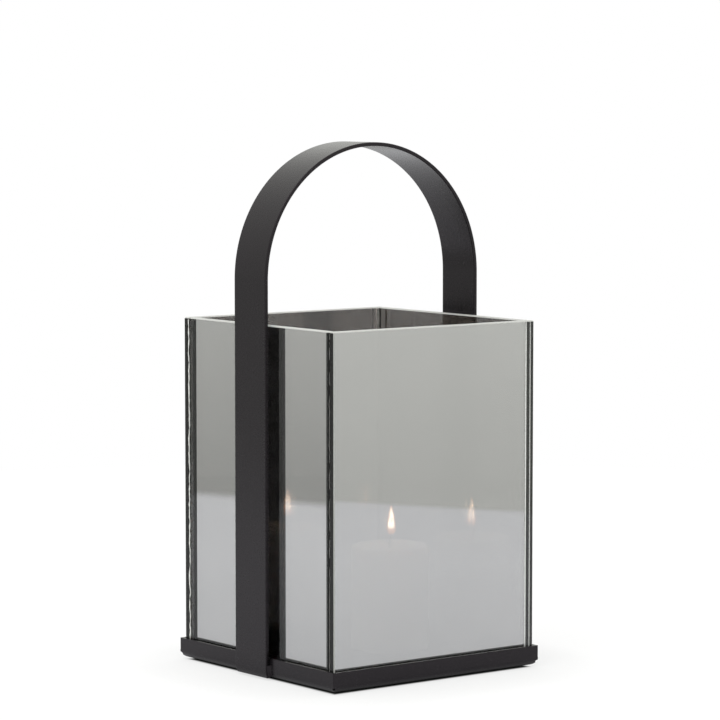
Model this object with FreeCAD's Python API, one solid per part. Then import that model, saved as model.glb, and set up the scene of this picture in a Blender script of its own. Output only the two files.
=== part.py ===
import FreeCAD, Part
import math
import os

# Candle lantern in millimetres, +Z up.
# The origin is the middle of the plane that the four pads stand on.
# X runs from one leg of the handle to the other, Y along the width of its strap.

# Tray, folded from one piece of sheet
tray_width = 200.0
tray_height = 15.5
sheet_thickness = 2.0
tray_bend_inside = 4.0
relief_bore = 2.2
relief_angle = 30.0
corner_weld_root = 0.4
corner_weld_round = 0.6

# Pads under the tray
pad_diameter = 16.0
pad_thickness = 1.5
pad_margin = 8.0
pad_edge_round = 0.4

# Open-topped box of four half-mirror panes, standing loose in the tray
pane_thickness = 6.0
pane_height = 266.2
pane_arris = 1.0
pane_clearance = 1.0
pane_seat_gap = 0.3
corner_bead_leg = 1.5
corner_bead_hollow = 0.2

# Handle, one flat bar bent to an arch, its feet wrapped round the bends of the tray
strap_width = 40.0
strap_thickness = 3.0
strap_gap = 0.6
strap_rise = 33.6
strap_edge_round = 0.4
strap_tip_lift = 0.2
strap_weld_leg = 2.0
strap_weld_drop = 5.4

# Candle, standing off the middle of the tray
candle_diameter = 62.0
candle_height = 83.0
candle_to_right_pane = 9.0
candle_to_rear_pane = 35.5
candle_foot_round = 1.5
candle_rim_round = 3.0
candle_pool_border = 5.0
candle_pool_depth = 2.5
wick_diameter = 2.0
wick_fit = 0.05
wick_foot_inset = 2.0
wick_rise = 12.0
wick_curl_radius = 40.0


# How far the inside of a bend stands above the tray's floor, at a distance from the wall
def bend_rise(distance):
    short = max(tray_bend_inside - distance, 0)
    return tray_bend_inside - math.sqrt(tray_bend_inside ** 2 - short ** 2)


# Levels and half widths that the pieces share
tray_half = tray_width / 2
tray_floor = pad_thickness + sheet_thickness
tray_lip = pad_thickness + tray_height
tray_bend_outside = tray_bend_inside + sheet_thickness
bend_centre = tray_half - tray_bend_outside
bend_level = pad_thickness + tray_bend_outside
corner_weld_size = sheet_thickness - corner_weld_root
pad_place = bend_centre - pad_margin - pad_diameter / 2
glass_half = tray_half - sheet_thickness - pane_clearance
glass_inner = glass_half - pane_thickness
seat_rise = max(bend_rise(pane_clearance + pane_arris), bend_rise(pane_clearance) - pane_arris)
glass_foot = tray_floor + seat_rise + pane_seat_gap
glass_rim = glass_foot + pane_height
strap_inner = tray_half + strap_gap
strap_outer = strap_inner + strap_thickness
strap_side = strap_width / 2
strap_bend_inside = tray_bend_outside + strap_gap
strap_bend_outside = strap_bend_inside + strap_thickness
strap_wrap = math.degrees(math.asin((tray_bend_outside - strap_tip_lift) / strap_bend_outside))
strap_weld_top = tray_lip - strap_weld_drop
arch_level = glass_rim + strap_rise
candle_radius = candle_diameter / 2
candle_x = glass_inner - candle_to_right_pane - candle_radius
candle_y = glass_inner - candle_to_rear_pane - candle_radius
pool_level = candle_height - candle_pool_depth
wick_radius = wick_diameter / 2
wick_bore_radius = wick_radius + wick_fit

origin = FreeCAD.Vector(0, 0, 0)
along_y = FreeCAD.Vector(0, 1, 0)
upwards = FreeCAD.Vector(0, 0, 1)
corners = {
    "front_left": (-1, -1),
    "front_right": (1, -1),
    "rear_left": (-1, 1),
    "rear_right": (1, 1),
}


def vec(x, y, z):
    return FreeCAD.Vector(x, y, z)


def in_xz(x, z):
    return FreeCAD.Vector(x, 0, z)


def line(start, end):
    return Part.LineSegment(start, end).toShape()


def arc(start, middle, end):
    return Part.Arc(start, middle, end).toShape()


# An arc in the XZ plane, by its centre, radius and angles in degrees from +X
def arc_about(centre_x, centre_z, radius, start_angle, end_angle):
    points = []
    for angle in (start_angle, (start_angle + end_angle) / 2, end_angle):
        turn = math.radians(angle)
        points.append(in_xz(centre_x + radius * math.cos(turn), centre_z + radius * math.sin(turn)))
    return arc(*points)


def face_of(edges):
    return Part.Face(Part.Wire(edges))


# Where a point of the bend at this angle lies, as distance from the middle and as level
def on_bend(radius, angle):
    turn = math.radians(angle)
    return bend_centre + radius * math.cos(turn), bend_level + radius * math.sin(turn)


# The body under a channel section along Y: a flat floor, two round bends and straight sides
def channel(half, floor, top, radius):
    middle = half - radius
    level = floor + radius
    section = face_of([
        line(in_xz(-middle, floor), in_xz(middle, floor)),
        arc_about(middle, level, radius, -90, 0),
        line(in_xz(half, level), in_xz(half, top)),
        line(in_xz(half, top), in_xz(-half, top)),
        line(in_xz(-half, top), in_xz(-half, level)),
        arc_about(-middle, level, radius, 180, 270),
    ])
    section.translate(along_y * -tray_width)
    return section.extrude(along_y * (2 * tray_width))


# A channel crossed with itself at a right angle, so that its four bends meet in mitres
def crossed(body):
    turned = body.copy()
    turned.rotate(origin, upwards, 90)
    return body.common(turned)


# The column between the ends of two walls of the tray, above their bends
def corner_column(side_x, side_y):
    near = tray_half - corner_weld_size
    start = vec(near if side_x > 0 else -tray_half, near if side_y > 0 else -tray_half, bend_level)
    return Part.makeBox(corner_weld_size, corner_weld_size, tray_lip - bend_level, start)


# The hole drilled where two bends run together, square to the mitre
def relief_hole(side_x, side_y):
    reach, level = on_bend(tray_bend_outside, -relief_angle)
    tilt = math.radians(relief_angle)
    inwards = vec(-side_x * math.cos(tilt), -side_y * math.cos(tilt), math.sin(tilt))
    inwards.normalize()
    start = vec(side_x * reach, side_y * reach, level) - inwards * tray_bend_outside
    return Part.makeCylinder(relief_bore / 2, 2 * tray_bend_outside, start, inwards)


def make_tray():
    outside = crossed(channel(tray_half, pad_thickness, tray_lip, tray_bend_outside))
    hollow_half = tray_half - sheet_thickness
    hollow = crossed(channel(hollow_half, tray_floor, tray_lip + tray_height, tray_bend_inside))
    tray = outside.cut(hollow)
    for side_x, side_y in corners.values():
        tray = tray.cut(corner_column(side_x, side_y))
        tray = tray.cut(relief_hole(side_x, side_y))
    return tray


# The four corner seams, filled from the bend to the lip and ground round at the outside
def make_corner_welds():
    seams = []
    for side_x, side_y in corners.values():
        column = corner_column(side_x, side_y)
        outwards = vec(side_x, side_y, 0)
        outer_edge = max(column.Edges, key=lambda edge: edge.CenterOfMass.dot(outwards))
        seams.append(column.makeFillet(corner_weld_round, [outer_edge]))
    return Part.makeCompound(seams)


def make_pad(side_x, side_y):
    pad = Part.makeCylinder(pad_diameter / 2, pad_thickness, vec(side_x * pad_place, side_y * pad_place, 0))
    foot_edges = [edge for edge in pad.Edges if edge.BoundBox.ZMax < pad_thickness / 2]
    return pad.makeFillet(pad_edge_round, foot_edges)


# A pane with ground arrises on all its edges, from its outline seen from above
def make_pane(low_x, low_y, high_x, high_y):
    pane = Part.makeBox(high_x - low_x, high_y - low_y, pane_height, vec(low_x, low_y, glass_foot))
    return pane.makeChamfer(pane_arris, pane.Edges)


# The front and rear panes run across the full width, and the side panes butt between them
def make_panes():
    return {
        "pane_front": make_pane(-glass_half, -glass_half, glass_half, -glass_inner),
        "pane_rear": make_pane(-glass_half, glass_inner, glass_half, glass_half),
        "pane_left": make_pane(-glass_half, -glass_inner, -glass_inner, glass_inner),
        "pane_right": make_pane(glass_inner, -glass_inner, glass_half, glass_inner),
    }


# A bead of clear adhesive in an inner corner of the glass box, a little hollow on its free side
def make_corner_bead(side_x, side_y):
    level = glass_foot + pane_arris
    hollow = corner_bead_leg * (0.5 - corner_bead_hollow)

    def place(back_x, back_y):
        return vec(side_x * (glass_inner - back_x), side_y * (glass_inner - back_y), level)

    section = face_of([
        line(place(0, 0), place(corner_bead_leg, 0)),
        arc(place(corner_bead_leg, 0), place(hollow, hollow), place(0, corner_bead_leg)),
        line(place(0, corner_bead_leg), place(0, 0)),
    ])
    return section.extrude(upwards * (pane_height - 2 * pane_arris))


# One flat bar: a foot wrapped round the tray's bend, a leg, the arch, a leg and a foot
def make_handle_strap():
    outer_tip = on_bend(strap_bend_outside, -strap_wrap)
    inner_tip = on_bend(strap_bend_inside, -strap_wrap)
    outline = face_of([
        arc_about(-bend_centre, bend_level, strap_bend_outside, 180 + strap_wrap, 180),
        line(in_xz(-strap_outer, bend_level), in_xz(-strap_outer, arch_level)),
        arc_about(0, arch_level, strap_outer, 180, 0),
        line(in_xz(strap_outer, arch_level), in_xz(strap_outer, bend_level)),
        arc_about(bend_centre, bend_level, strap_bend_outside, 0, -strap_wrap),
        line(in_xz(outer_tip[0], outer_tip[1]), in_xz(inner_tip[0], inner_tip[1])),
        arc_about(bend_centre, bend_level, strap_bend_inside, -strap_wrap, 0),
        line(in_xz(strap_inner, bend_level), in_xz(strap_inner, arch_level)),
        arc_about(0, arch_level, strap_inner, 0, 180),
        line(in_xz(-strap_inner, arch_level), in_xz(-strap_inner, bend_level)),
        arc_about(-bend_centre, bend_level, strap_bend_inside, 180, 180 + strap_wrap),
        line(in_xz(-inner_tip[0], inner_tip[1]), in_xz(-outer_tip[0], outer_tip[1])),
    ])
    outline.translate(along_y * -strap_side)
    strap = outline.extrude(along_y * strap_width)
    long_edges = []
    for edge in strap.Edges:
        if edge.BoundBox.YLength < strap_edge_round and edge.Length > 2 * strap_thickness:
            long_edges.append(edge)
    return strap.makeFillet(strap_edge_round, long_edges)


# Fillet welds along both edges of one leg, round the bend and up the wall of the tray
def make_strap_weld(side_x):
    beads = []
    for side_y in (-1, 1):
        root = side_y * strap_side
        wall = vec(side_x * tray_half, root, bend_level)
        toe = vec(side_x * tray_half, root + side_y * strap_weld_leg, bend_level)
        crown = vec(side_x * (tray_half + strap_gap + strap_weld_leg), root, bend_level)
        section = face_of([line(wall, toe), line(toe, crown), line(crown, wall)])
        rise = section.extrude(upwards * (strap_weld_top - bend_level))
        turn = section.copy()
        bend = turn.revolve(vec(side_x * bend_centre, 0, bend_level), along_y, side_x * strap_wrap)
        beads.append(rise.fuse(bend).removeSplitter())
    return Part.makeCompound(beads)


# A poured pillar with a round rim and a shallow melt pool, bored for its wick
def make_candle_wax():
    rim = candle_radius - candle_rim_round
    shore = candle_radius - candle_pool_border
    foot = candle_radius - candle_foot_round
    side_top = candle_height - candle_rim_round
    pool_middle = in_xz((shore + wick_bore_radius) / 2, candle_height - 0.8 * candle_pool_depth)
    profile = face_of([
        line(in_xz(wick_bore_radius, 0), in_xz(foot, 0)),
        arc_about(foot, candle_foot_round, candle_foot_round, -90, 0),
        line(in_xz(candle_radius, candle_foot_round), in_xz(candle_radius, side_top)),
        arc_about(rim, side_top, candle_rim_round, 0, 90),
        line(in_xz(rim, candle_height), in_xz(shore, candle_height)),
        arc(in_xz(shore, candle_height), pool_middle, in_xz(wick_bore_radius, pool_level)),
        line(in_xz(wick_bore_radius, pool_level), in_xz(wick_bore_radius, 0)),
    ])
    wax = profile.revolve(origin, upwards, 360)
    wax.translate(vec(candle_x, candle_y, tray_floor))
    return wax


# The wick runs straight up the bore and curls over above the pool
def make_candle_wick():
    curl = math.degrees(wick_rise / wick_curl_radius)
    path = Part.Wire([
        line(in_xz(0, wick_foot_inset), in_xz(0, pool_level)),
        arc_about(wick_curl_radius, pool_level, wick_curl_radius, 180, 180 - curl),
    ])
    section = Part.Wire(Part.makeCircle(wick_radius, in_xz(0, wick_foot_inset), upwards))
    wick = path.makePipeShell([section], True, False)
    wick.translate(vec(candle_x, candle_y, tray_floor))
    return wick


pieces = {
    "tray": make_tray(),
    "tray_corner_welds": make_corner_welds(),
    "handle_strap": make_handle_strap(),
    "strap_weld_left": make_strap_weld(-1),
    "strap_weld_right": make_strap_weld(1),
    "candle_wax": make_candle_wax(),
    "candle_wick": make_candle_wick(),
}
pieces.update(make_panes())
for corner, (side_x, side_y) in corners.items():
    pieces["foot_pad_" + corner] = make_pad(side_x, side_y)
    pieces["corner_bead_" + corner] = make_corner_bead(side_x, side_y)

os.makedirs("parts", exist_ok=True)
for node, shape in pieces.items():
    shape.exportStep("parts/" + node + ".step")
    print(node, "valid" if shape.isValid() else "NOT VALID", len(shape.Solids), round(shape.Volume, 1))
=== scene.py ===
import math
import bmesh
import bpy
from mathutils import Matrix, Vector, noise


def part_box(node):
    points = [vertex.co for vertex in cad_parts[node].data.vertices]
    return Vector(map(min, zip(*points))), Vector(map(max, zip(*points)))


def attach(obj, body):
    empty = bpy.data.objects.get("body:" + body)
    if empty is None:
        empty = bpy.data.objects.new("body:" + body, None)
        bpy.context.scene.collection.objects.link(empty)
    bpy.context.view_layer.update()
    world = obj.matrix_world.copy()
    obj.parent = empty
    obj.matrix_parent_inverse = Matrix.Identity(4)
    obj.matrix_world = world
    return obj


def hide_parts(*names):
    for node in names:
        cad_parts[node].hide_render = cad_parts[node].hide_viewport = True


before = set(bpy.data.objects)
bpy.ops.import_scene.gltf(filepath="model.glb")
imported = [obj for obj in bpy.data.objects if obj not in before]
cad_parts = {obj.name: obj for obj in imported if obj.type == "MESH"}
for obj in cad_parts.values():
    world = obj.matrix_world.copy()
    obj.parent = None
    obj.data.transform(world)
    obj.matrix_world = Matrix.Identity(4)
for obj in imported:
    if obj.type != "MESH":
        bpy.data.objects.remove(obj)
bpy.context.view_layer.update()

mm = 0.001
scene = bpy.context.scene
scene.view_settings.view_transform = "Standard"
print("lantern: frame loaded,", len(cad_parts), "CAD nodes")


# camera: solved from the photograph's corners and the handle's outline, focal length in its pixels
cameraLook = dict(
    turn=37.628, dip=4.949, distance=2.577, side=0.0016, height=0.23827,
    focal=3312.6, picture=720, sensor=36, clip=(0.05, 50),
)


def placeCamera(look):
    turn, dip = math.radians(look["turn"]), math.radians(look["dip"])
    ahead = Vector((math.sin(turn) * math.cos(dip), math.cos(turn) * math.cos(dip), -math.sin(dip)))
    right = Vector((math.cos(turn), -math.sin(turn), 0))
    data = bpy.data.cameras.new("photoCamera")
    data.sensor_width = look["sensor"]
    data.lens = data.sensor_width * look["focal"] / look["picture"]
    data.clip_start, data.clip_end = look["clip"]
    camera = bpy.data.objects.new("photoCamera", data)
    scene.collection.objects.link(camera)
    camera.location = right * look["side"] + Vector((0, 0, look["height"])) - ahead * look["distance"]
    camera.rotation_mode = "QUATERNION"
    camera.rotation_quaternion = ahead.to_track_quat("-Z", "Y")
    scene.camera = camera


placeCamera(cameraLook)
print("lantern: camera placed")


# small tools for node trees and pieces
def addNode(tree, kind, values=None, **settings):
    node = tree.nodes.new(kind)
    for key, value in settings.items():
        setattr(node, key, value)
    for key, value in (values or {}).items():
        node.inputs[key].default_value = value
    return node


def join(tree, source, target):
    tree.links.new(source, target)


def newMaterial(name):
    material = bpy.data.materials.new(name)
    material.use_nodes = True
    tree = material.node_tree
    shader = tree.nodes["Principled BSDF"]
    return material, tree, shader


def setSockets(shader, values):
    for socket, value in values.items():
        shader.inputs[socket].default_value = value


def objectPlace(tree):
    return addNode(tree, "ShaderNodeTexCoord").outputs["Object"]


def axesOf(tree, source):
    node = addNode(tree, "ShaderNodeSeparateXYZ")
    join(tree, source, node.inputs["Vector"])
    return node.outputs


def ramp(tree, source, stops):
    node = addNode(tree, "ShaderNodeValToRGB")
    elements = node.color_ramp.elements
    while len(elements) < len(stops):
        elements.new(0.5)
    for element, (place, colour) in zip(elements, stops):
        element.position = place
        element.color = (*colour, 1)
    join(tree, source, node.inputs["Fac"])
    return node.outputs["Color"]


def mapped(tree, source, low, high, newLow, newHigh):
    node = addNode(tree, "ShaderNodeMapRange")
    for socket, value in zip(("From Min", "From Max", "To Min", "To Max"), (low, high, newLow, newHigh)):
        node.inputs[socket].default_value = value
    join(tree, source, node.inputs["Value"])
    return node.outputs["Result"]


def noiseOn(tree, place, scale, detail=2.0, rough=0.5):
    node = addNode(tree, "ShaderNodeTexNoise", {"Scale": scale, "Detail": detail, "Roughness": rough})
    join(tree, place, node.inputs["Vector"])
    return node.outputs["Fac"]


def bumpOn(tree, shader, height, strength, distance):
    node = addNode(tree, "ShaderNodeBump", {"Strength": strength, "Distance": distance})
    join(tree, height, node.inputs["Height"])
    join(tree, node.outputs["Normal"], shader.inputs["Normal"])


def addPiece(name, mesh, *materials):
    piece = bpy.data.objects.new(name, mesh)
    scene.collection.objects.link(piece)
    for material in materials:
        mesh.materials.append(material)
    return piece


def meshOf(bm, name):
    bmesh.ops.recalc_face_normals(bm, faces=bm.faces)
    mesh = bpy.data.meshes.new(name)
    bm.to_mesh(mesh)
    bm.free()
    return mesh


def frozenMesh(piece):
    graph = bpy.context.evaluated_depsgraph_get()
    shape = piece.evaluated_get(graph)
    return bpy.data.meshes.new_from_object(shape, preserve_all_data_layers=True, depsgraph=graph)


def shadeSmooth(piece):
    for polygon in piece.data.polygons:
        polygon.use_smooth = True


def steadyNormals(piece):  # flats stay flat beside narrow rounded edges
    shadeSmooth(piece)
    modifier = piece.modifiers.new("flats", "WEIGHTED_NORMAL")
    modifier.weight = 100
    modifier.keep_sharp = True
    old = piece.data
    mesh = frozenMesh(piece)
    piece.modifiers.clear()
    piece.data = mesh
    bpy.data.meshes.remove(old)
    mesh.name = piece.name


def newTree(name, sizes):
    tree = bpy.data.node_groups.new(name, "GeometryNodeTree")
    tree.interface.new_socket("Geometry", in_out="INPUT", socket_type="NodeSocketGeometry")
    for label in sizes:
        tree.interface.new_socket(label, in_out="INPUT", socket_type="NodeSocketFloat")
    tree.interface.new_socket("Geometry", in_out="OUTPUT", socket_type="NodeSocketGeometry")
    return tree, tree.nodes.new("NodeGroupInput"), tree.nodes.new("NodeGroupOutput")


def closeTree(tree, shape, out, material):
    real = addNode(tree, "GeometryNodeRealizeInstances")
    finish = addNode(tree, "GeometryNodeSetMaterial", {"Material": material})
    join(tree, shape, real.inputs["Geometry"])
    join(tree, real.outputs["Geometry"], finish.inputs["Geometry"])
    join(tree, finish.outputs["Geometry"], out.inputs["Geometry"])


def growPiece(name, tree, values, data):
    carrier = bpy.data.objects.new(name + "Carrier", data)
    scene.collection.objects.link(carrier)
    modifier = carrier.modifiers.new("grow", "NODES")
    modifier.node_group = tree
    for item in tree.interface.items_tree:
        if item.in_out == "INPUT" and item.name in values:
            modifier[item.identifier] = values[item.name]
    mesh = frozenMesh(carrier)
    carrier.modifiers.remove(modifier)
    bpy.data.objects.remove(carrier)
    mesh.name = name
    return addPiece(name, mesh)


def pathCurve(name, points):
    curve = bpy.data.curves.new(name, "CURVE")
    curve.dimensions = "3D"
    spline = curve.splines.new("POLY")
    spline.points.add(len(points) - 1)
    for place, point in zip(spline.points, points):
        place.co = (*point, 1)
    return curve


# powder coat: fine grain on a soft swirl
coatLook = dict(
    dark=(0.0058, 0.0051, 0.0059), light=(0.0098, 0.0087, 0.0099), rough=(0.22, 0.31),
    shine=0.27, tint=(1.0, 0.89, 0.985), grain=1500, grainSpan=(0.25, 0.75), grainShare=0.55,
    swirl=38, swirlShare=0.45, span=(0.2, 0.8), bump=(0.35, 0.12 * mm),
)


def makePowderCoat(look):
    material, tree, shader = newMaterial("powderCoat")
    place = objectPlace(tree)
    grain = noiseOn(tree, place, look["grain"], 3)
    swirl = noiseOn(tree, place, look["swirl"], 4, 0.6)
    both = addNode(tree, "ShaderNodeMath", operation="MULTIPLY_ADD")
    both.inputs[1].default_value = look["swirlShare"]
    join(tree, swirl, both.inputs[0])
    join(tree, mapped(tree, grain, *look["grainSpan"], 0.0, look["grainShare"]), both.inputs[2])
    colour = ramp(tree, both.outputs["Value"], list(zip(look["span"], (look["dark"], look["light"]))))
    join(tree, colour, shader.inputs["Base Color"])
    join(tree, mapped(tree, both.outputs["Value"], *look["span"], *look["rough"]), shader.inputs["Roughness"])
    setSockets(shader, {"Specular IOR Level": look["shine"], "Specular Tint": (*look["tint"], 1)})
    bumpOn(tree, shader, grain, *look["bump"])
    return material


# glass: mirror film with a warmer lining, clear faces and ground edges
glassLook = dict(
    mirror=(0.618, 0.621, 0.624), lining=(0.46, 0.40, 0.365), mirrorAlpha=0.72,
    haze=9, hazeSpan=(0.3, 0.7), hazeShare=0.015, smear=26, smearSpan=(0.35, 0.75), smearRough=(0.01, 0.025),
    shine=0.055, wipe=14, wiped=(0.93, 0.95, 0.94), clean=(1.0, 1.0, 1.0), wipeRough=(0.0, 0.03),
    # the lap strip: a mirror colour and a painted glow standing in for light through the pane ends
    lap=(0.33, 0.29, 0.265), lapPaintedGlow=(0.079, 0.077, 0.074), lapRough=(0.01, 0.03),
)


def makeMirrorFilm(name, colour, look):  # each side of the film reflects and lets under a third through
    material, tree, shader = newMaterial(name)
    place = objectPlace(tree)
    haze = noiseOn(tree, place, look["haze"], 3)
    tones = [tuple(v * (1 + sign * look["hazeShare"]) for v in colour) for sign in (-1, 1)]
    join(tree, ramp(tree, haze, list(zip(look["hazeSpan"], tones))), shader.inputs["Base Color"])
    smear = noiseOn(tree, place, look["smear"], 4)
    join(tree, mapped(tree, smear, *look["smearSpan"], *look["smearRough"]), shader.inputs["Roughness"])
    setSockets(shader, {"Metallic": 1.0, "Alpha": look["mirrorAlpha"]})
    return material


def makePaintedGlowLap(look):  # a mirror with a painted glow, as bright as the panes look from inside, where their ends would block the view
    material, tree, shader = newMaterial("glassLapPaintedGlow")
    haze = noiseOn(tree, objectPlace(tree), look["haze"], 3)
    join(tree, mapped(tree, haze, *look["hazeSpan"], *look["lapRough"]), shader.inputs["Roughness"])
    setSockets(shader, {
        "Base Color": (*look["lap"], 1), "Metallic": 1.0,
        "Emission Color": (*look["lapPaintedGlow"], 1), "Emission Strength": 1.0})
    return material


def makeGlassFace(look):  # clear face: a faint first reflection
    material, tree, shader = newMaterial("glassClearFace")
    wipe = noiseOn(tree, objectPlace(tree), look["wipe"], 4)
    colour = ramp(tree, wipe, list(zip(look["hazeSpan"], (look["wiped"], look["clean"]))))
    join(tree, colour, shader.inputs["Base Color"])
    join(tree, mapped(tree, wipe, *look["smearSpan"], *look["wipeRough"]), shader.inputs["Roughness"])
    setSockets(shader, {"Metallic": 1.0, "Alpha": look["shine"]})
    return material


# ground edges: colour, roughness and shine of each; the near-white end glint is a painted highlight, used for
# lines inside the pane ends
edgeLook = dict(
    kinds={
        "glassGroundRim": ((0.50, 0.50, 0.49), 0.4, 0.5), "glassPaintedEndGlint": ((0.88, 0.89, 0.88), 0.3, 0.5),
        # the cut edge is near black: the pane ends, and bars of painted shade inside them
        "glassCutEdgeAndShade": ((0.008, 0.008, 0.0076), 0.25, 0.22), "glassArris": ((0.36, 0.365, 0.355), 0.3, 0.5),
    },
    grind=900, span=(0.3, 0.7), tones=(0.8, 1.15), roughTones=(0.8, 1.2), bump=(0.25, 0.1 * mm),
)


def makeGroundEdge(name, look):
    colour, roughness, shine = look["kinds"][name]
    material, tree, shader = newMaterial(name)
    grind = noiseOn(tree, objectPlace(tree), look["grind"], 2)
    tones = [tuple(min(1.0, v * tone) for v in colour) for tone in look["tones"]]
    join(tree, ramp(tree, grind, list(zip(look["span"], tones))), shader.inputs["Base Color"])
    rough = [roughness * tone for tone in look["roughTones"]]
    join(tree, mapped(tree, grind, *look["span"], *rough), shader.inputs["Roughness"])
    setSockets(shader, {"Specular IOR Level": shine})
    bumpOn(tree, shader, grind, *look["bump"])
    return material


# glue, felt and wax
glueLook = dict(
    seam=((0.74, 0.74, 0.72), (0.94, 0.94, 0.92)), fillet=((0.16, 0.155, 0.15), (0.30, 0.29, 0.28)),
    cloud=320, colourSpan=(0.35, 0.65), roughSpan=(0.3, 0.7), rough=(0.12, 0.3), bump=(0.3, 0.2 * mm),
)


def makeGlue(name, tones, look):
    material, tree, shader = newMaterial(name)
    cloud = noiseOn(tree, objectPlace(tree), look["cloud"], 3)
    join(tree, ramp(tree, cloud, list(zip(look["colourSpan"], tones))), shader.inputs["Base Color"])
    join(tree, mapped(tree, cloud, *look["roughSpan"], *look["rough"]), shader.inputs["Roughness"])
    bumpOn(tree, shader, cloud, *look["bump"])
    return material


feltLook = dict(
    low=(0.012, 0.012, 0.013), high=(0.04, 0.039, 0.041), fibre=2600, span=(0.3, 0.7),
    rough=0.95, sheen=0.3, bump=(0.8, 0.3 * mm),
)


def makeFelt(look):
    material, tree, shader = newMaterial("feltFibre")
    fibre = noiseOn(tree, objectPlace(tree), look["fibre"], 6, 0.7)
    colour = ramp(tree, fibre, list(zip(look["span"], (look["low"], look["high"]))))
    join(tree, colour, shader.inputs["Base Color"])
    setSockets(shader, {"Roughness": look["rough"], "Sheen Weight": look["sheen"]})
    bumpOn(tree, shader, fibre, *look["bump"])
    return material


# wax sizes: the lip gives steps out from the pool's edge and below the top, the mound radius and rise
waxLook = dict(
    body=(0.86, 0.72, 0.62), pale=(0.93, 0.83, 0.74), scatter=(0.012, 0.007, 0.004), scatterShare=0.6,
    cloud=55, span=(0.3, 0.7), rough=(0.3, 0.48), dimple=240, bump=(0.12, 0.3 * mm),
    segments=96, sideSteps=16, wobble=0.25 * mm, wobbleSeed=4.0,
    border=5 * mm, poolDepth=2.5 * mm, poolFlat=0.4,
    rim=3 * mm, rimArc=(15, 90, 6), foot=1.5 * mm, footArc=(-60, 0, 4),
    lip=((0.6 * mm, 0.2 * mm), (0.0, 0.9 * mm), (-1.6 * mm, 2.0 * mm), (-5 * mm, 2.3 * mm)),
    mound=((3 * mm, 0.0), (1.6 * mm, 0.5 * mm), (0.0, 0.7 * mm)),
)


def makeWax(look):
    material, tree, shader = newMaterial("candleWax")
    place = objectPlace(tree)
    cloud = noiseOn(tree, place, look["cloud"], 5, 0.6)
    colour = ramp(tree, cloud, list(zip(look["span"], (look["body"], look["pale"]))))
    join(tree, colour, shader.inputs["Base Color"])
    join(tree, mapped(tree, cloud, *look["span"], *look["rough"]), shader.inputs["Roughness"])
    setSockets(shader, {
        "Subsurface Weight": look["scatterShare"],
        "Subsurface Radius": look["scatter"], "Subsurface Scale": 1.0})
    bumpOn(tree, shader, noiseOn(tree, place, look["dimple"], 3), *look["bump"])
    return material


powderCoat = makePowderCoat(coatLook)
mirrorFilm = makeMirrorFilm("glassMirrorFilm", glassLook["mirror"], glassLook)
mirrorLining = makeMirrorFilm("glassMirrorLining", glassLook["lining"], glassLook)
clearFace = makeGlassFace(glassLook)
glassLapPaintedGlow = makePaintedGlowLap(glassLook)
groundRim, paintedEndGlint, cutEdgeAndShade, arrisEdge = [makeGroundEdge(name, edgeLook) for name in edgeLook["kinds"]]
cornerGlue = makeGlue("cornerGlue", glueLook["seam"], glueLook)
filletGlue = makeGlue("filletGlue", glueLook["fillet"], glueLook)
feltFibre = makeFelt(feltLook)
candleWax = makeWax(waxLook)
print("lantern: finishes made")


# CAD nodes that keep their shape take a worked finish
def refinish(names, material):
    for name in names:
        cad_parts[name].data.materials.clear()
        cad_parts[name].data.materials.append(material)


refinish(("tray", "tray_corner_welds", "strap_weld_left", "strap_weld_right"), powderCoat)
refinish([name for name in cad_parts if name.startswith("foot_pad")], feltFibre)


# handle: one flat bar swept along legs, arch and wrapped feet
strapLook = dict(
    thickness=3 * mm, bendX=94 * mm, bendZ=7.5 * mm, edge=0.75 * mm, edgeSteps=4,
    archSteps=120, archLift=0.04 * mm, legSteps=12, footSteps=10,
)


def strapPath(look):
    low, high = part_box("handle_strap")
    span = high.x - look["thickness"] / 2
    spring = high.z + look["archLift"] - high.x
    footRadius = span - look["bendX"]
    wrap = math.asin((look["bendZ"] - low.z) / (footRadius + look["thickness"] / 2))
    side = []
    for step in range(look["footSteps"] + 1):
        angle = -wrap * (1 - step / look["footSteps"])
        x = look["bendX"] + footRadius * math.cos(angle)
        side.append((x, look["bendZ"] + footRadius * math.sin(angle)))
    for step in range(1, look["legSteps"] + 1):
        side.append((span, look["bendZ"] + (spring - look["bendZ"]) * step / look["legSteps"]))
    arch = []
    for step in range(1, look["archSteps"]):
        angle = math.pi * step / look["archSteps"]
        arch.append((span * math.cos(angle), spring + span * math.sin(angle)))
    points = side + arch + [(-x, z) for x, z in reversed(side)]
    return [(x, 0, z) for x, z in points], high.y - low.y


def strapTree(material, look):
    tree, source, out = newTree("barSweep", ("Width", "Thickness", "Edge"))
    upright = addNode(tree, "GeometryNodeSetCurveNormal", mode="FREE")
    upright.inputs["Normal"].default_value = (0, 1, 0)
    bar = addNode(tree, "GeometryNodeCurvePrimitiveQuadrilateral")
    soft = addNode(tree, "GeometryNodeFilletCurve", {"Count": look["edgeSteps"]}, mode="POLY")
    sweep = addNode(tree, "GeometryNodeCurveToMesh", {"Fill Caps": True})
    join(tree, source.outputs["Geometry"], upright.inputs["Curve"])
    join(tree, source.outputs["Width"], bar.inputs["Width"])
    join(tree, source.outputs["Thickness"], bar.inputs["Height"])
    join(tree, bar.outputs["Curve"], soft.inputs["Curve"])
    join(tree, source.outputs["Edge"], soft.inputs["Radius"])
    join(tree, upright.outputs["Curve"], sweep.inputs["Curve"])
    join(tree, soft.outputs["Curve"], sweep.inputs["Profile Curve"])
    closeTree(tree, sweep.outputs["Mesh"], out, material)
    return tree


path, barWidth = strapPath(strapLook)
barSizes = {"Width": barWidth, "Thickness": strapLook["thickness"], "Edge": strapLook["edge"]}
barNodes = strapTree(powderCoat, strapLook)
handleStrap = growPiece("handleStrap", barNodes, barSizes, pathCurve("strapPath", path))
steadyNormals(handleStrap)
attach(handleStrap, "base")
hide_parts("handle_strap")
low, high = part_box("handle_strap")
sweptSizes = [[round(v / mm, 2) for v in size] for size in (handleStrap.dimensions, high - low)]
print("lantern: handle swept", *sweptSizes)
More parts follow.
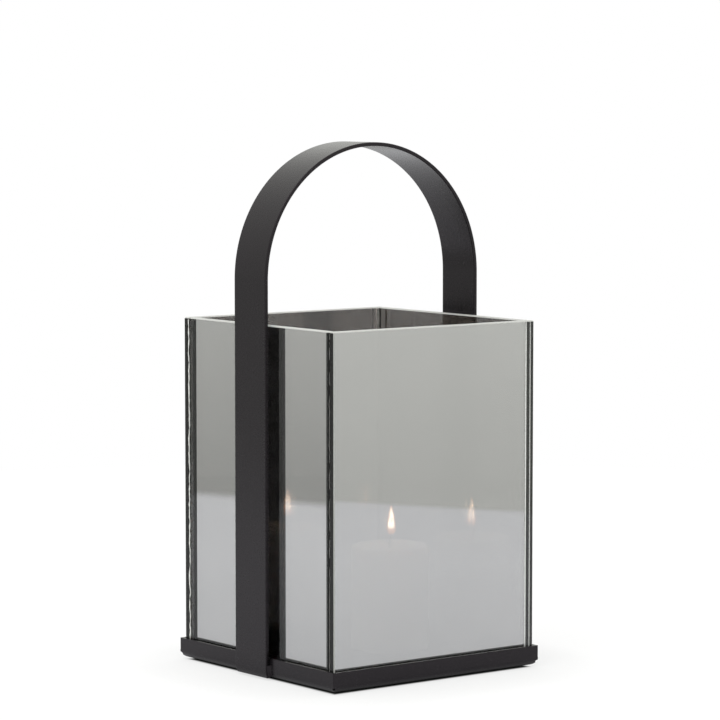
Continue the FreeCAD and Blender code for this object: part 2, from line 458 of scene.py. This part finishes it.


# panes: each a clear plate with ground edges, a half mirror film halfway through and strips inside its ends
# that paint highlights, shade and a glow
# a strip is given by its distance from the pane's end, its width and its finish
paneFinishes = dict(
    clear=clearFace, rim=groundRim, arris=arrisEdge, cutAndShade=cutEdgeAndShade,
    film=mirrorFilm, lining=mirrorLining, paintedGlint=paintedEndGlint, lap=glassLapPaintedGlow,
)
paneSlots = {finish: place for place, finish in enumerate(paneFinishes)}
paneLook = dict(
    arris=0.8 * mm, endChamfer=1.9 * mm, joint=0.1 * mm, film=0.06 * mm, filmInset=0.2 * mm,
    stripHalf=0.05 * mm, stripGap=1 * mm, stripDepth=0.3 * mm, lapDepth=0.12 * mm,
    # inside the ends: painted highlight lines (glint), painted shade bars (cut) and, on the butted panes, a
    # painted glow (lap)
    lappedEnd=((1.6 * mm, 0.8 * mm, "paintedGlint"), (3.85 * mm, 2.8 * mm, "cutAndShade"), (5.9 * mm, 1.0 * mm, "paintedGlint")),
    buttedEnd=((6.15 * mm, 1.6 * mm, "cutAndShade"),), lapEnd=(6.2 * mm, 5.6 * mm, "lap"),
    square=0.95, slanted=0.5, level=0.1,
    sides={"front": (0, -1), "rear": (0, 1), "left": (-1, 0), "right": (1, 0)},
)


def addSlab(bm, low, high, arris=0.0, upright=0.0):
    known = set(bm.faces)
    spans = list(zip(low, high))
    corners = [bm.verts.new((x, y, z)) for x in spans[0] for y in spans[1] for z in spans[2]]
    faces = []
    for quad in ((0, 1, 3, 2), (4, 6, 7, 5), (0, 4, 5, 1), (2, 3, 7, 6), (0, 2, 6, 4), (1, 5, 7, 3)):
        faces.append(bm.faces.new([corners[i] for i in quad]))
    bmesh.ops.recalc_face_normals(bm, faces=faces)
    for offset, isUpright in ((upright, True), (arris, False)):
        if not offset:
            continue
        rises = [(edge, abs(edge.verts[0].co.z - edge.verts[1].co.z)) for edge in bm.edges]
        edges = [edge for edge, rise in rises if (rise > 1 * mm) == isUpright]
        bmesh.ops.bevel(bm, geom=edges, offset=offset, segments=1, affect="EDGES", profile=0.5)
    bm.normal_update()
    return [face for face in bm.faces if face not in known]


def paneFinish(normal, outward, lapped, look):
    facing = normal.dot(outward)
    isUpright = abs(normal.z) < look["level"]
    if abs(facing) > look["square"]:
        return "clear"
    if normal.z > look["slanted"]:
        return "rim"  # with its two arrises
    if not lapped and facing < look["slanted"] and isUpright:
        return "clear"  # butted ends stay clear inside the corner
    onBevel = max(abs(v) for v in normal) < look["square"]
    # every other face is a cut end, near black as painted shade
    return "arris" if lapped and onBevel and facing > look["slanted"] and isUpright else "cutAndShade"


def makePane(side, look):
    low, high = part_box("pane_" + side)
    outward = Vector((*look["sides"][side], 0))
    across = Vector((abs(outward.x), abs(outward.y), 0))
    along = Vector((across.y, across.x, 0))
    lapped = side in ("front", "rear")  # these two run past the ends of the other two
    if not lapped:
        low, high = low + along * look["joint"], high - along * look["joint"]
    middle = (low + high) / 2
    flat = Vector((1, 1, 1)) - across
    inset = flat * look["filmInset"]
    half = across * look["film"] / 2
    bm = bmesh.new()
    for face in addSlab(bm, low, high, look["arris"], look["arris"] if lapped else look["endChamfer"]):
        face.material_index = paneSlots[paneFinish(face.normal, outward, lapped, look)]
    filmLow = low * flat + middle * across + inset - half
    filmHigh = high * flat + middle * across - inset + half
    for face in addSlab(bm, filmLow, filmHigh):
        isInner = face.normal.dot(outward) < -look["slanted"]
        face.material_index = paneSlots["lining" if isInner else "film"]
    endward = Vector((-outward.y, outward.x, 0))
    reach = (high - low).dot(along) / 2
    outer = outward * look["stripDepth"]
    inner = outward * (look["lapDepth"] - (high - low).dot(across) / 2)
    strips = [(endward, outer, strip) for strip in look["lappedEnd" if lapped else "buttedEnd"]]
    if not lapped:  # a mirror with a painted glow on the inner face beside each corner, standing in for the light the pane ends block
        strips += [(endward * sign, inner, look["lapEnd"]) for sign in (-1, 1)]
    upright = Vector((0, 0, (high.z - low.z) / 2 - look["stripGap"]))
    for heading, depth, (place, width, finish) in strips:
        centre = middle + heading * (reach - place) + depth
        spread = along * width / 2 + across * look["stripHalf"] + upright
        for face in addSlab(bm, centre - spread, centre + spread):
            face.material_index = paneSlots[finish]
    name = "pane" + side.capitalize()
    mesh = bpy.data.meshes.new(name)
    bm.to_mesh(mesh)
    bm.free()
    pane = addPiece(name, mesh, *paneFinishes.values())
    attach(pane, "glass_box")
    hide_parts("pane_" + side)


for side in paneLook["sides"]:
    makePane(side, paneLook)
print("lantern: panes made")


# corner glue: a hollow fillet inside, and a wavy squeezed line in the outer groove
beadLook = dict(
    seam=0.78 * mm, seamSteps=340, seamSides=8, topGap=0.5 * mm, sunk=0.4 * mm,
    drift=0.62 * mm, driftGain=4.0, sway=95.0, swell=210.0, threshold=0.72, full=0.75, thinnest=0.06,
    fill={"front_left": 0.03, "front_right": 0.25, "rear_left": 0.5, "rear_right": 0.25},
    steps=220, wave=0.26, waveLimit=1.15, waveSeed=(3.1, 5.7), waveScale=170,
    hollow=0.36, hollowWave=0.05, hollowSeed=(7.7, 1.3), hollowScale=260, shoulder=(0.62, 0.13),
)


def seamTree(material, look):
    tree, source, out = newTree("glueSeam", ("Radius", "Drift", "Fill", "Seed"))
    fine = addNode(tree, "GeometryNodeResampleCurve", {"Count": look["seamSteps"]})
    place = addNode(tree, "GeometryNodeInputPosition")
    sway, swell = [
        addNode(tree, "ShaderNodeTexNoise", {"Scale": look[kind], "Detail": detail}, noise_dimensions="4D")
        for kind, detail in (("sway", 3.0), ("swell", 2.0))]
    shift = addNode(tree, "ShaderNodeVectorMath", operation="SUBTRACT")
    shift.inputs[1].default_value = (0.5, 0.5, 0.5)
    scaled = addNode(tree, "ShaderNodeVectorMath", operation="SCALE")
    widened = addNode(tree, "ShaderNodeMath", operation="MULTIPLY")
    widened.inputs[1].default_value = look["driftGain"]
    moved = addNode(tree, "GeometryNodeSetPosition")
    bottom = addNode(tree, "ShaderNodeMath", operation="SUBTRACT")
    bottom.inputs[0].default_value = look["threshold"]
    spread = addNode(tree, "ShaderNodeMapRange", {
        "From Max": look["full"], "To Min": look["thinnest"], "To Max": 1.0})
    radius = addNode(tree, "ShaderNodeMath", operation="MULTIPLY")
    ring = addNode(tree, "GeometryNodeCurvePrimitiveCircle", {"Resolution": look["seamSides"], "Radius": 1.0})
    sweep = addNode(tree, "GeometryNodeCurveToMesh", {"Fill Caps": True})
    smooth = addNode(tree, "GeometryNodeSetShadeSmooth")
    join(tree, source.outputs["Geometry"], fine.inputs["Curve"])
    for texture in (sway, swell):
        join(tree, place.outputs["Position"], texture.inputs["Vector"])
        join(tree, source.outputs["Seed"], texture.inputs["W"])
    join(tree, sway.outputs["Color"], shift.inputs[0])
    join(tree, source.outputs["Drift"], widened.inputs[0])
    join(tree, shift.outputs["Vector"], scaled.inputs[0])
    join(tree, widened.outputs["Value"], scaled.inputs["Scale"])
    join(tree, fine.outputs["Curve"], moved.inputs["Geometry"])
    join(tree, scaled.outputs["Vector"], moved.inputs["Offset"])
    join(tree, source.outputs["Fill"], bottom.inputs[1])
    join(tree, swell.outputs["Fac"], spread.inputs["Value"])
    join(tree, bottom.outputs["Value"], spread.inputs["From Min"])
    join(tree, spread.outputs["Result"], radius.inputs[0])
    join(tree, source.outputs["Radius"], radius.inputs[1])
    join(tree, moved.outputs["Geometry"], sweep.inputs["Curve"])
    join(tree, ring.outputs["Curve"], sweep.inputs["Profile Curve"])
    join(tree, radius.outputs["Value"], sweep.inputs["Scale"])
    join(tree, sweep.outputs["Mesh"], smooth.inputs["Geometry"])
    closeTree(tree, smooth.outputs["Geometry"], out, material)
    return tree


seamNodes = seamTree(cornerGlue, beadLook)


def waveAt(sides, seed, height):
    return noise.noise(Vector((sides[0] * seed[0], sides[1] * seed[1], height)))


def addFillet(bm, corner, sides, low, high, leg, look):
    rings = []
    far, near = look["shoulder"]
    for step in range(look["steps"] + 1):
        z = low + (high - low) * step / look["steps"]
        wave = look["wave"] * waveAt(sides, look["waveSeed"], z * look["waveScale"])
        swell = leg * min(look["waveLimit"], 1 + wave)
        dip = look["hollowWave"] * waveAt(sides, look["hollowSeed"], z * look["hollowScale"])
        hollow = look["hollow"] + dip
        profile = [(0, 0), (1, 0), (far, near), (hollow, hollow), (near, far), (0, 1)]
        places = [(corner.x - sides[0] * a * swell, corner.y - sides[1] * b * swell, z) for a, b in profile]
        rings.append([bm.verts.new(place) for place in places])
    faces = [bm.faces.new(rings[0]), bm.faces.new(list(reversed(rings[-1])))]
    for first, second in zip(rings, rings[1:]):
        for i in range(len(first)):
            j = (i + 1) % len(first)
            faces.append(bm.faces.new((first[i], first[j], second[j], second[i])))
    for face in faces:
        face.material_index = 1


def makeBead(name, seed, look):
    low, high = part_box("corner_bead_" + name)
    sides = (1 if low.x > 0 else -1, 1 if low.y > 0 else -1)
    corner = Vector((high.x if sides[0] > 0 else low.x, high.y if sides[1] > 0 else low.y, 0))
    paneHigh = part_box("pane_front")[1]
    edge = (paneHigh.x - look["sunk"]) * sides[0]
    words = "cornerBead" + name.title().replace("_", "")
    line = [(edge, corner.y, low.z), (edge, corner.y, high.z - look["topGap"])]
    values = {"Radius": look["seam"], "Drift": look["drift"], "Fill": look["fill"][name], "Seed": float(seed)}
    bead = growPiece(words, seamNodes, values, pathCurve(words + "Path", line))
    bead.data.materials.append(filletGlue)
    bm = bmesh.new()
    bm.from_mesh(bead.data)
    addFillet(bm, corner, sides, low.z, high.z, high.x - low.x, look)
    bmesh.ops.recalc_face_normals(bm, faces=bm.faces)
    bm.to_mesh(bead.data)
    bm.free()
    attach(bead, "glass_box")
    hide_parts("corner_bead_" + name)


for seed, name in enumerate(beadLook["fill"]):
    makeBead(name, seed, beadLook)
print("lantern: corner glue made")


# candle: turned wax with a melt pool, twisted wick and a flame
def turned(bm, centre, profile, segments, wobble=0.0, seed=0.0):
    waveAround, waveUp = 1.6, 60
    rings = []
    for radius, z in profile:
        if radius <= 0:
            rings.append([bm.verts.new((centre.x, centre.y, z))])
            continue
        ring = []
        for step in range(segments):
            angle = 2 * math.pi * step / segments
            east, north = math.cos(angle), math.sin(angle)
            wave = noise.noise(Vector((east * waveAround + seed, north * waveAround, z * waveUp)))
            r = radius + wobble * wave
            ring.append(bm.verts.new((centre.x + r * east, centre.y + r * north, z)))
        rings.append(ring)
    for first, second in zip(rings, rings[1:]):
        for step in range(segments):
            other = (step + 1) % segments
            if len(first) == 1:
                bm.faces.new((first[0], second[step], second[other]))
            elif len(second) == 1:
                bm.faces.new((first[step], first[other], second[0]))
            else:
                bm.faces.new((first[step], first[other], second[other], second[step]))


def arcSteps(centreR, centreZ, radius, start, end, steps):
    angles = [math.radians(start + (end - start) * step / steps) for step in range(steps + 1)]
    return [(centreR + radius * math.cos(a), centreZ + radius * math.sin(a)) for a in angles]


def makeCandle(look):
    low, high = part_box("candle_wax")
    centre = (low + high) / 2
    radius = (high.x - low.x) / 2 - look["wobble"]
    poolEdge, poolZ = radius - look["border"], high.z - look["poolDepth"]
    foot, rim, sideSteps = look["foot"], look["rim"], look["sideSteps"]
    bottom, top = low.z + foot, high.z - rim
    profile = [(0, low.z), (radius - foot, low.z)]
    profile += arcSteps(radius - foot, bottom, foot, *look["footArc"])
    profile += [(radius, bottom + (top - bottom) * step / sideSteps) for step in range(1, sideSteps + 1)]
    profile += arcSteps(radius - rim, top, rim, *look["rimArc"])
    profile += [(poolEdge + out, high.z - down) for out, down in look["lip"]]
    profile += [(poolEdge * look["poolFlat"], poolZ)]
    profile += [(out, poolZ + rise) for out, rise in look["mound"]]
    bm = bmesh.new()
    turned(bm, centre, profile, look["segments"], look["wobble"], look["wobbleSeed"])
    wax = addPiece("candleBody", meshOf(bm, "candleBody"), candleWax)
    shadeSmooth(wax)
    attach(wax, "candle")
    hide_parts("candle_wax")
    return centre, poolZ


candleCentre, poolLevel = makeCandle(waxLook)


wickLook = dict(
    cotton=(0.55, 0.47, 0.36), char=(0.012, 0.010, 0.009), charFrom=2 * mm, charTo=7 * mm, charRagged=4 * mm,
    thread=1800, rough=0.9, bump=(0.6, 0.3 * mm), lobes=3, waist=0.62, lobeCuts=2, turn=7.0, radius=1.0 * mm,
    steps=72, root=3 * mm, tipGap=0.5 * mm, leanGap=0.2 * mm,
)


def makeWickCotton(look):
    material, tree, shader = newMaterial("wickCotton")
    place = objectPlace(tree)
    thread = noiseOn(tree, place, look["thread"], 3)
    height = addNode(tree, "ShaderNodeMath", operation="MULTIPLY_ADD")
    height.inputs[1].default_value = look["charRagged"]
    join(tree, thread, height.inputs[0])
    join(tree, axesOf(tree, place)["Z"], height.inputs[2])
    charFrom, charTo = poolLevel + look["charFrom"], poolLevel + look["charTo"]
    burnt = mapped(tree, height.outputs["Value"], charFrom, charTo, 0, 1)
    join(tree, ramp(tree, burnt, [(0.0, look["cotton"]), (1.0, look["char"])]), shader.inputs["Base Color"])
    setSockets(shader, {"Roughness": look["rough"]})
    bumpOn(tree, shader, thread, *look["bump"])
    return material


def wickTree(material, look):
    tree, source, out = newTree("wickTwist", ("Radius", "Turns"))
    lobes = addNode(tree, "GeometryNodeCurveStar", {"Points": look["lobes"]})
    waist = addNode(tree, "ShaderNodeMath", operation="MULTIPLY")
    waist.inputs[1].default_value = look["waist"]
    rounded = addNode(tree, "GeometryNodeSubdivideCurve", {"Cuts": look["lobeCuts"]})
    along = addNode(tree, "GeometryNodeSplineParameter")
    angle = addNode(tree, "ShaderNodeMath", operation="MULTIPLY")
    twist = addNode(tree, "GeometryNodeSetCurveTilt")
    sweep = addNode(tree, "GeometryNodeCurveToMesh", {"Fill Caps": True})
    join(tree, source.outputs["Radius"], waist.inputs[0])
    join(tree, source.outputs["Radius"], lobes.inputs["Outer Radius"])
    join(tree, waist.outputs["Value"], lobes.inputs["Inner Radius"])
    join(tree, lobes.outputs["Curve"], rounded.inputs["Curve"])
    join(tree, along.outputs["Factor"], angle.inputs[0])
    join(tree, source.outputs["Turns"], angle.inputs[1])
    join(tree, source.outputs["Geometry"], twist.inputs["Curve"])
    join(tree, angle.outputs["Value"], twist.inputs["Tilt"])
    join(tree, twist.outputs["Curve"], sweep.inputs["Curve"])
    join(tree, rounded.outputs["Curve"], sweep.inputs["Profile Curve"])
    closeTree(tree, sweep.outputs["Mesh"], out, material)
    return tree


def makeWick(look):
    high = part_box("candle_wick")[1]
    lean = high.x - look["radius"] - candleCentre.x - look["leanGap"]
    start, end = poolLevel - look["root"], high.z - look["tipGap"]
    points = []
    for step in range(look["steps"] + 1):
        z = start + (end - start) * step / look["steps"]
        rise = max(0.0, (z - poolLevel) / (high.z - poolLevel))
        points.append((candleCentre.x + lean * rise * rise, candleCentre.y, z))
    values = {"Radius": look["radius"], "Turns": look["turn"]}
    twist = wickTree(makeWickCotton(look), look)
    wick = growPiece("candleWick", twist, values, pathCurve("wickPath", points))
    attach(wick, "candle")
    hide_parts("candle_wick")
    return Vector(points[-1])


wickTip = makeWick(wickLook)


# flame: a bright core in a thin warm veil, its outline as share of height and of half width
flameLook = dict(
    core=13.0, height=20.5 * mm, width=2.5 * mm, sink=0.5 * mm, segments=28,
    stops=(0.0, 0.15, 0.34, 1.0), root=(0.03, 0.016, 0.014), low=(0.19, 0.095, 0.06),
    hot=(1.0, 0.87, 0.68), tip=(1.0, 0.80, 0.58),
    veil=5.0, veilGrow=1.42, veilRise=1.15, veilDrop=0.8 * mm, veilAlpha=0.3, veilTint=(1.0, 0.42, 0.16),
    outline=((0.0, 0.0), (0.03, 0.50), (0.09, 0.82), (0.17, 0.97), (0.27, 1.0), (0.40, 0.94), (0.54, 0.81),
             (0.68, 0.64), (0.80, 0.48), (0.92, 0.29), (1.0, 0.0)),
)


def makeFlame(name, low, high, strength, alpha, tints):
    material, tree, shader = newMaterial(name)
    along = mapped(tree, axesOf(tree, objectPlace(tree))["Z"], low, high, 0, 1)
    join(tree, ramp(tree, along, tints), shader.inputs["Emission Color"])
    setSockets(shader, {
        "Base Color": (0, 0, 0, 1), "Specular IOR Level": 0, "Emission Strength": strength, "Alpha": alpha})
    return material


def makeFlamePiece(look):
    base = wickTip.z - look["sink"]
    veilBase, veilHeight = base - look["veilDrop"], look["height"] * look["veilRise"]
    veilWidth = look["width"] * look["veilGrow"]
    tints = list(zip(look["stops"], (look["root"], look["low"], look["hot"], look["tip"])))
    veilTints = [(stop, look["veilTint"]) for stop in look["stops"]]
    core = makeFlame("flameCore", base, base + look["height"], look["core"], 1.0, tints)
    veil = makeFlame("flameVeil", base, base + veilHeight, look["veil"], look["veilAlpha"], veilTints)
    bm = bmesh.new()
    centre = Vector((wickTip.x, wickTip.y, 0))
    coreOutline = [(look["width"] * r, base + look["height"] * h) for h, r in look["outline"]]
    veilOutline = [(veilWidth * r, veilBase + veilHeight * h) for h, r in look["outline"]]
    turned(bm, centre, coreOutline, look["segments"])
    inner = len(bm.faces)
    turned(bm, centre, veilOutline, look["segments"])
    bm.faces.ensure_lookup_table()
    for face in bm.faces[inner:]:
        face.material_index = 1
    flame = addPiece("candleFlame", meshOf(bm, "candleFlame"), core, veil)
    shadeSmooth(flame)
    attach(flame, "candle")


makeFlamePiece(flameLook)
print("lantern: candle made")


# studio: pale floor that ends like a table in the glass, soft room and one wide lamp overhead
# a table edge is given by its direction, distance and softness, a lamp by place, size and power
studioLook = dict(
    floorRadius=1.32, floorRim=128, floorPaint=0.16, paper=0.8, shadowReach=0.08, shadowSamples=12,
    contact=(0.0935, 0.0970),
    tableEdges=[((-0.957, 0.289, 0), 0.930, 0.036), ((0.874, -0.486, 0), 0.980, 0.022)],
    glow=[(0.0, 0.70), (0.42, 0.74), (0.55, 0.748), (0.8, 0.775), (0.95, 0.81), (1.0, 0.84)],
    mirrored=[(0.0, 0.1), (0.3, 0.30), (0.55, 0.55), (0.8, 0.72), (1.0, 0.80)],
    mirrorTint=(0.98, 0.992, 1.02), nearReach=(0.15, 0.7), nearLevel=(0.86, 0.985), sideReach=1.1,
    roomRight=(0.775, 0.90), roomLeft=(0.54, 0.72), wallRise=(-0.127, -0.0765), tint=(1.0, 1.012, 0.965),
    dome=1.22, domeRise=(0.02, 0.35), backdrop=1.5, floorBehind=(0.35, 0.85), roomBehind=(0.35, 0.9),
    backdropRise=(0.05, 0.45), backdropShare=(0.1, 1.0), toRight=(0.61, -0.79, 0), toRear=(0.61, 0.79, 0),
    lamps={"softBox": ((-0.9, -0.2, 1.7), 1.4, 14)}, lampAim=(0, 0, 0.2),
)


def mathOf(tree, operation, first, second):
    node = addNode(tree, "ShaderNodeMath", operation=operation)
    for socket, source in zip(node.inputs, (first, second)):
        if isinstance(source, (int, float)):
            socket.default_value = source
        else:
            join(tree, source, socket)
    return node.outputs["Value"]


def productOf(tree, *factors):
    product = factors[0]
    for factor in factors[1:]:
        product = mathOf(tree, "MULTIPLY", product, factor)
    return product


def dotWith(tree, source, direction):
    node = addNode(tree, "ShaderNodeVectorMath", operation="DOT_PRODUCT")
    node.inputs[1].default_value = direction
    join(tree, source, node.inputs[0])
    return node.outputs["Value"]


def mixOf(tree, factor, first, second):
    node = addNode(tree, "ShaderNodeMixShader")
    for socket, source in zip(node.inputs, (factor, first, second)):
        join(tree, source, socket)
    return node.outputs["Shader"]


def glowOf(tree, level, tint=(1, 1, 1)):
    node = addNode(tree, "ShaderNodeEmission", {"Color": (*tint, 1)})
    join(tree, level, node.inputs["Strength"])
    return node.outputs["Emission"]


def paintOf(tree, level):
    return addNode(tree, "ShaderNodeBsdfDiffuse", {"Color": (level, level, level, 1)}).outputs["BSDF"]


def pastEdges(tree, place, look):
    past = 0.0
    for direction, reach, soft in look["tableEdges"]:
        fade = addNode(tree, "ShaderNodeMapRange", {
            "From Min": reach - soft, "From Max": reach + soft}, interpolation_type="SMOOTHSTEP")
        join(tree, dotWith(tree, place, direction), fade.inputs["Value"])
        past = mathOf(tree, "MAXIMUM", fade.outputs["Result"], past)
    return past


def makeFloor(look):
    bm = bmesh.new()
    bmesh.ops.create_circle(bm, cap_ends=True, segments=look["floorRim"], radius=look["floorRadius"])
    material, tree, shader = newMaterial("floorPaper")
    output = tree.nodes["Material Output"]
    tree.nodes.remove(shader)
    place = objectPlace(tree)
    rays = addNode(tree, "ShaderNodeLightPath").outputs
    axes = axesOf(tree, place)
    # shadow round the tray, and black where it all but touches
    shadow = addNode(
        tree, "ShaderNodeAmbientOcclusion", {"Distance": look["shadowReach"]}, samples=look["shadowSamples"])
    seenLevel, mirrorLevel = [
        ramp(tree, shadow.outputs["AO"], [(stop, (level,) * 3) for stop, level in look[kind]])
        for kind in ("glow", "mirrored")]
    outward = mathOf(tree, "MAXIMUM", *[mathOf(tree, "ABSOLUTE", axes[axis], 0.0) for axis in ("X", "Y")])
    under = mapped(tree, outward, *look["contact"], 0, 1)
    # level seen in the glass, brighter away from the tray and behind it
    away = addNode(tree, "ShaderNodeVectorMath", operation="LENGTH")
    join(tree, place, away.inputs[0])
    nearer = mapped(tree, away.outputs["Value"], *look["nearReach"], *look["nearLevel"])
    behind = mapped(tree, dotWith(tree, place, look["toRear"]), *look["floorBehind"], 1.0, look["backdrop"])
    glow = glowOf(tree, productOf(tree, seenLevel, under))
    mirrored = glowOf(tree, productOf(tree, mirrorLevel, under, nearer, behind), look["mirrorTint"])
    # past the table's edges the glass shows the wall
    sideways = dotWith(tree, place, look["toRight"])
    wallLevel = mapped(
        tree, sideways, -look["sideReach"], look["sideReach"], look["roomLeft"][0], look["roomRight"][0])
    beyond = productOf(tree, pastEdges(tree, place, look), rays["Is Glossy Ray"])
    lit = addNode(tree, "ShaderNodeAddShader")
    join(tree, mixOf(tree, rays["Is Glossy Ray"], glow, mirrored), lit.inputs[0])
    join(tree, paintOf(tree, look["floorPaint"]), lit.inputs[1])
    edged = mixOf(tree, beyond, lit.outputs["Shader"], glowOf(tree, wallLevel, look["tint"]))
    seen = mathOf(tree, "MAXIMUM", rays["Is Camera Ray"], rays["Is Glossy Ray"])
    seen = mathOf(tree, "MAXIMUM", seen, rays["Is Transmission Ray"])
    join(tree, mixOf(tree, seen, paintOf(tree, look["paper"]), edged), output.inputs["Surface"])
    addPiece("studioFloor", meshOf(bm, "studioFloor"), material)


def makeRoom(look):
    world = bpy.data.worlds.new("studioRoom")
    scene.world = world
    world.use_nodes = True
    tree = world.node_tree
    room = tree.nodes["Background"]
    ray = addNode(tree, "ShaderNodeTexCoord").outputs["Generated"]
    height = axesOf(tree, ray)["Z"]
    sideways = mapped(tree, dotWith(tree, ray, look["toRight"]), -1, 1, 0, 1)
    leftLevel = mapped(tree, height, *look["wallRise"], *look["roomLeft"])
    rightLevel = mapped(tree, height, *look["wallRise"], *look["roomRight"])
    gap = productOf(tree, mathOf(tree, "SUBTRACT", rightLevel, leftLevel), sideways)
    walls = mathOf(tree, "ADD", leftLevel, gap)
    dome = mapped(tree, height, *look["domeRise"], 1.0, look["dome"])
    behind = mapped(tree, dotWith(tree, ray, look["toRear"]), *look["roomBehind"], 1.0, look["backdrop"])
    share = mapped(tree, height, *look["backdropRise"], *look["backdropShare"])
    lift = mathOf(tree, "ADD", productOf(tree, mathOf(tree, "SUBTRACT", behind, 1.0), share), 1.0)
    room.inputs["Color"].default_value = (*look["tint"], 1)
    join(tree, productOf(tree, walls, dome, lift), room.inputs["Strength"])
    white = addNode(tree, "ShaderNodeBackground", {"Color": (1, 1, 1, 1), "Strength": 1.0})
    rays = addNode(tree, "ShaderNodeLightPath").outputs
    seen = mathOf(tree, "MAXIMUM", rays["Is Camera Ray"], rays["Is Transmission Ray"])
    shown = mixOf(tree, seen, room.outputs["Background"], white.outputs["Background"])
    join(tree, shown, tree.nodes["World Output"].inputs["Surface"])


def makeLamp(name, place, size, power, aim):
    data = bpy.data.lights.new(name, "AREA")
    data.shape = "DISK"
    data.size = size
    data.energy = power
    lamp = bpy.data.objects.new(name, data)
    lamp.location = place
    lamp.rotation_mode = "QUATERNION"
    lamp.rotation_quaternion = (Vector(aim) - Vector(place)).to_track_quat("-Z", "Y")
    scene.collection.objects.link(lamp)


makeFloor(studioLook)
makeRoom(studioLook)
for name, (place, size, power) in studioLook["lamps"].items():
    makeLamp(name, place, size, power, studioLook["lampAim"])
print("lantern: studio ready")
